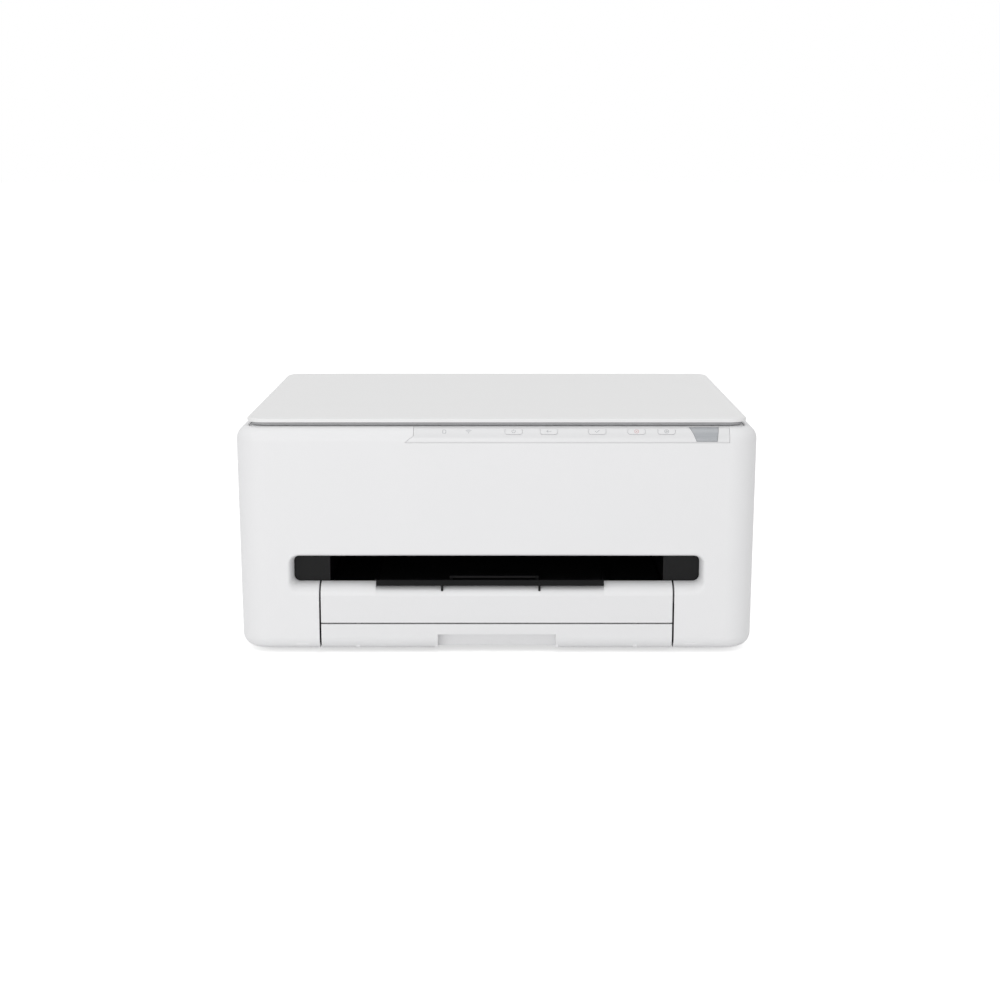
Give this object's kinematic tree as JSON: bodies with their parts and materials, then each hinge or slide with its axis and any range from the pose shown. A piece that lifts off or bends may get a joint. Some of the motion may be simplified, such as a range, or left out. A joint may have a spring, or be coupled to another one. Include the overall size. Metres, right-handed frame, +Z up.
{
  "type": "multifunction printer",
  "caption": "Desktop inkjet printer with a flat-bed scanner under a hinged lid, a control strip on the front shoulder, a paper slot and a front cassette.",
  "frame": {"origin": "centre of the footprint, on the surface the feet stand on", "axes": "+X to the right seen from the front, -Y towards the front where the paper comes out, +Z up"},
  "size_m": [0.4028, 0.314, 0.1842],
  "materials": {
    "white_shell": "fine moulded grain, satin",
    "lid_shell": "fine moulded grain, satin",
    "panel_strip": "smooth, semi-gloss",
    "panel_keys": "smooth, satin",
    "display": "unlit liquid crystal window",
    "black_plastic": "moulded, satin",
    "grey_plastic": "moulded, satin",
    "frame_plastic": "moulded, matt",
    "rail_steel": "pressed, bright",
    "roller_steel": "ground shaft with dark grit coat",
    "roller_rubber": "ground",
    "foot_rubber": "moulded",
    "gear_plastic": "acetal, smooth",
    "belt_rubber": "moulded",
    "motor_can": "zinc-plated can",
    "clear_glass": "float glass",
    "pad_white": "smooth white sheet on foam",
    "felt": "pressed felt",
    "board_green": "solder-masked board",
    "supply_case": "moulded"
  },
  "bodies": {
    "base": {"front_fascia": "white_shell", "left_side_cover": "white_shell", "right_side_cover": "white_shell", "rear_panel": "white_shell", "bottom_case": "grey_plastic", "rubber_feet": "foot_rubber", "slot_liner": "black_plastic", "control_panel": "panel_strip", "display_window": "display", "panel_carrier": "frame_plastic", "engine_frame": "frame_plastic", "platen": "black_plastic", "carriage_rail": "rail_steel", "drive_belt": "belt_rubber", "drive_motors": "motor_can", "roller_holders": "black_plastic", "purge_unit": "grey_plastic", "ink_absorber": "felt", "power_supply": "supply_case", "power_inlet": "black_plastic", "main_board": "board_green", "usb_port": "rail_steel"},
    "scanner": {"scanner_case": "grey_plastic", "scanner_top_frame": "white_shell", "platen_glass": "clear_glass", "stay_arm": "rail_steel"},
    "scan_head": {"scan_head": "black_plastic"},
    "lid": {"lid_cover": "lid_shell", "lid_pad": "pad_white"},
    "key_power": {"key_power": "panel_keys"},
    "key_back": {"key_back": "panel_keys"},
    "key_ok": {"key_ok": "panel_keys"},
    "key_stop": {"key_stop": "panel_keys"},
    "key_start": {"key_start": "panel_keys"},
    "output_tray": {"output_tray": "black_plastic", "output_panel": "white_shell"},
    "tray_extension": {"tray_extension": "black_plastic"},
    "paper_stop": {"paper_stop": "black_plastic"},
    "cassette": {"cassette_tray": "grey_plastic", "cassette_panel": "white_shell"},
    "left_side_guide": {"left_side_guide": "grey_plastic"},
    "right_side_guide": {"right_side_guide": "grey_plastic"},
    "guide_pinion": {"guide_pinion": "gear_plastic"},
    "end_guide": {"end_guide": "grey_plastic"},
    "feed_roller": {"feed_roller": "roller_steel"},
    "eject_roller": {"eject_roller": "roller_rubber"},
    "turn_roller": {"turn_roller": "roller_rubber"},
    "pinch_rollers": {"pinch_rollers": "grey_plastic"},
    "star_wheels": {"star_wheels": "rail_steel"},
    "idler_gear": {"idler_gear": "gear_plastic"},
    "turn_idler_gear": {"turn_idler_gear": "gear_plastic"},
    "motor_pinion": {"motor_pinion": "gear_plastic"},
    "pickup_arm": {"pickup_arm": "black_plastic"},
    "pickup_roller": {"pickup_roller": "roller_rubber"},
    "carriage": {"carriage": "frame_plastic", "cartridges": "black_plastic"},
    "cartridge_cover": {"cartridge_cover": "grey_plastic"},
    "drive_pulley": {"drive_pulley": "gear_plastic"},
    "idler_pulley": {"idler_pulley": "gear_plastic"},
    "rear_door": {"rear_door": "white_shell"}
  },
  "joints": [
    {"name": "scanner_hinge", "type": "hinge", "parent": "base", "child": "scanner", "pos_m": [0, 0.148, 0.176], "axis": [-1, 0, 0], "range_deg": [0, 30]},
    {"name": "lid_hinge", "type": "hinge", "parent": "scanner", "child": "lid", "pos_m": [0, 0.1462, 0.1819], "axis": [-1, 0, 0], "range_deg": [0, 95]},
    {"name": "scan_head_slide", "type": "slide", "parent": "scanner", "child": "scan_head", "axis": [1, 0, 0], "range_m": [0, 0.29]},
    {"name": "output_tray_slide", "type": "slide", "parent": "base", "child": "output_tray", "axis": [0, -1, 0], "range_m": [0, 0.075]},
    {"name": "extension_slide", "type": "slide", "parent": "output_tray", "child": "tray_extension", "axis": [0, -1, 0], "range_m": [0, 0.08]},
    {"name": "paper_stop_hinge", "type": "hinge", "parent": "tray_extension", "child": "paper_stop", "pos_m": [0, -0.143, 0.0583], "axis": [1, 0, 0], "range_deg": [0, 80]},
    {"name": "cassette_slide", "type": "slide", "parent": "base", "child": "cassette", "axis": [0, -1, 0], "range_m": [0, 0.25]},
    {"name": "right_guide_slide", "type": "slide", "parent": "cassette", "child": "right_side_guide", "axis": [-1, 0, 0], "range_m": [0, 0.054]},
    {"name": "left_guide_slide", "type": "slide", "parent": "cassette", "child": "left_side_guide", "axis": [1, 0, 0], "range_m": [0, 0.054]},
    {"name": "guide_pinion_spin", "type": "hinge", "parent": "cassette", "child": "guide_pinion", "pos_m": [0, 0.04, 0], "axis": [0, 0, 1], "range_deg": [-400, 400]},
    {"name": "end_guide_slide", "type": "slide", "parent": "cassette", "child": "end_guide", "axis": [0, 1, 0], "range_m": [0, 0.12]},
    {"name": "feed_roller_spin", "type": "hinge", "parent": "base", "child": "feed_roller", "pos_m": [0, 0.062, 0.06], "axis": [1, 0, 0], "continuous": true},
    {"name": "eject_roller_spin", "type": "hinge", "parent": "base", "child": "eject_roller", "pos_m": [0, 0.005, 0.0605], "axis": [1, 0, 0], "continuous": true},
    {"name": "turn_roller_spin", "type": "hinge", "parent": "base", "child": "turn_roller", "pos_m": [0, 0.118, 0.045], "axis": [1, 0, 0], "continuous": true},
    {"name": "pinch_roller_spin", "type": "hinge", "parent": "base", "child": "pinch_rollers", "pos_m": [0, 0.062, 0.0699], "axis": [1, 0, 0], "continuous": true},
    {"name": "star_wheel_spin", "type": "hinge", "parent": "base", "child": "star_wheels", "pos_m": [0, 0.005, 0.0705], "axis": [1, 0, 0], "continuous": true},
    {"name": "idler_gear_spin", "type": "hinge", "parent": "base", "child": "idler_gear", "pos_m": [0.192, 0.03207, 0.05789], "axis": [1, 0, 0], "continuous": true},
    {"name": "turn_idler_spin", "type": "hinge", "parent": "base", "child": "turn_idler_gear", "pos_m": [0.192, 0.09091, 0.0559], "axis": [1, 0, 0], "continuous": true},
    {"name": "motor_pinion_spin", "type": "hinge", "parent": "base", "child": "motor_pinion", "pos_m": [0.192, 0.06649, 0.03887], "axis": [1, 0, 0], "continuous": true},
    {"name": "pickup_arm_swing", "type": "hinge", "parent": "base", "child": "pickup_arm", "pos_m": [0, 0.06, 0.036], "axis": [1, 0, 0], "range_deg": [0, 12]},
    {"name": "pickup_roller_spin", "type": "hinge", "parent": "pickup_arm", "child": "pickup_roller", "pos_m": [0, 0.092, 0.02], "axis": [1, 0, 0], "continuous": true},
    {"name": "carriage_slide", "type": "slide", "parent": "base", "child": "carriage", "axis": [-1, 0, 0], "range_m": [0, 0.292]},
    {"name": "cartridge_cover_hinge", "type": "hinge", "parent": "carriage", "child": "cartridge_cover", "pos_m": [0.146, 0.062, 0.1265], "axis": [-1, 0, 0], "range_deg": [0, 12]},
    {"name": "drive_pulley_spin", "type": "hinge", "parent": "base", "child": "drive_pulley", "pos_m": [-0.172, 0.0755, 0.111], "axis": [0, 1, 0], "continuous": true},
    {"name": "idler_pulley_spin", "type": "hinge", "parent": "base", "child": "idler_pulley", "pos_m": [0.172, 0.0755, 0.111], "axis": [0, 1, 0], "continuous": true},
    {"name": "rear_door_hinge", "type": "hinge", "parent": "base", "child": "rear_door", "pos_m": [0, 0.1545, 0.0245], "axis": [-1, 0, 0], "range_deg": [0, 90]},
    {"name": "key_power_press", "type": "slide", "parent": "base", "child": "key_power", "axis": [0, 0.7071, -0.7071], "range_m": [0, 0.0006], "stiffness_N_per_m": 400},
    {"name": "key_back_press", "type": "slide", "parent": "base", "child": "key_back", "axis": [0, 0.7071, -0.7071], "range_m": [0, 0.0006], "stiffness_N_per_m": 400},
    {"name": "key_ok_press", "type": "slide", "parent": "base", "child": "key_ok", "axis": [0, 0.7071, -0.7071], "range_m": [0, 0.0006], "stiffness_N_per_m": 400},
    {"name": "key_stop_press", "type": "slide", "parent": "base", "child": "key_stop", "axis": [0, 0.7071, -0.7071], "range_m": [0, 0.0006], "stiffness_N_per_m": 400},
    {"name": "key_start_press", "type": "slide", "parent": "base", "child": "key_start", "axis": [0, 0.7071, -0.7071], "range_m": [0, 0.0006], "stiffness_N_per_m": 400}
  ],
  "couplings": [
    {"joint": "idler_gear_spin", "follows": "feed_roller_spin", "ratio": -1.1429},
    {"joint": "eject_roller_spin", "follows": "feed_roller_spin", "ratio": 1.2121},
    {"joint": "turn_idler_spin", "follows": "feed_roller_spin", "ratio": -1.2121},
    {"joint": "turn_roller_spin", "follows": "feed_roller_spin", "ratio": 1},
    {"joint": "motor_pinion_spin", "follows": "feed_roller_spin", "ratio": -2.8571},
    {"joint": "pinch_roller_spin", "follows": "feed_roller_spin", "ratio": -1.7143},
    {"joint": "star_wheel_spin", "follows": "feed_roller_spin", "ratio": -1.3175},
    {"joint": "left_guide_slide", "follows": "right_guide_slide", "ratio": 1},
    {"joint": "guide_pinion_spin", "follows": "right_guide_slide", "rad_per_m": -125},
    {"joint": "drive_pulley_spin", "follows": "carriage_slide", "rad_per_m": -166.67},
    {"joint": "idler_pulley_spin", "follows": "carriage_slide", "rad_per_m": -166.67}
  ]
}
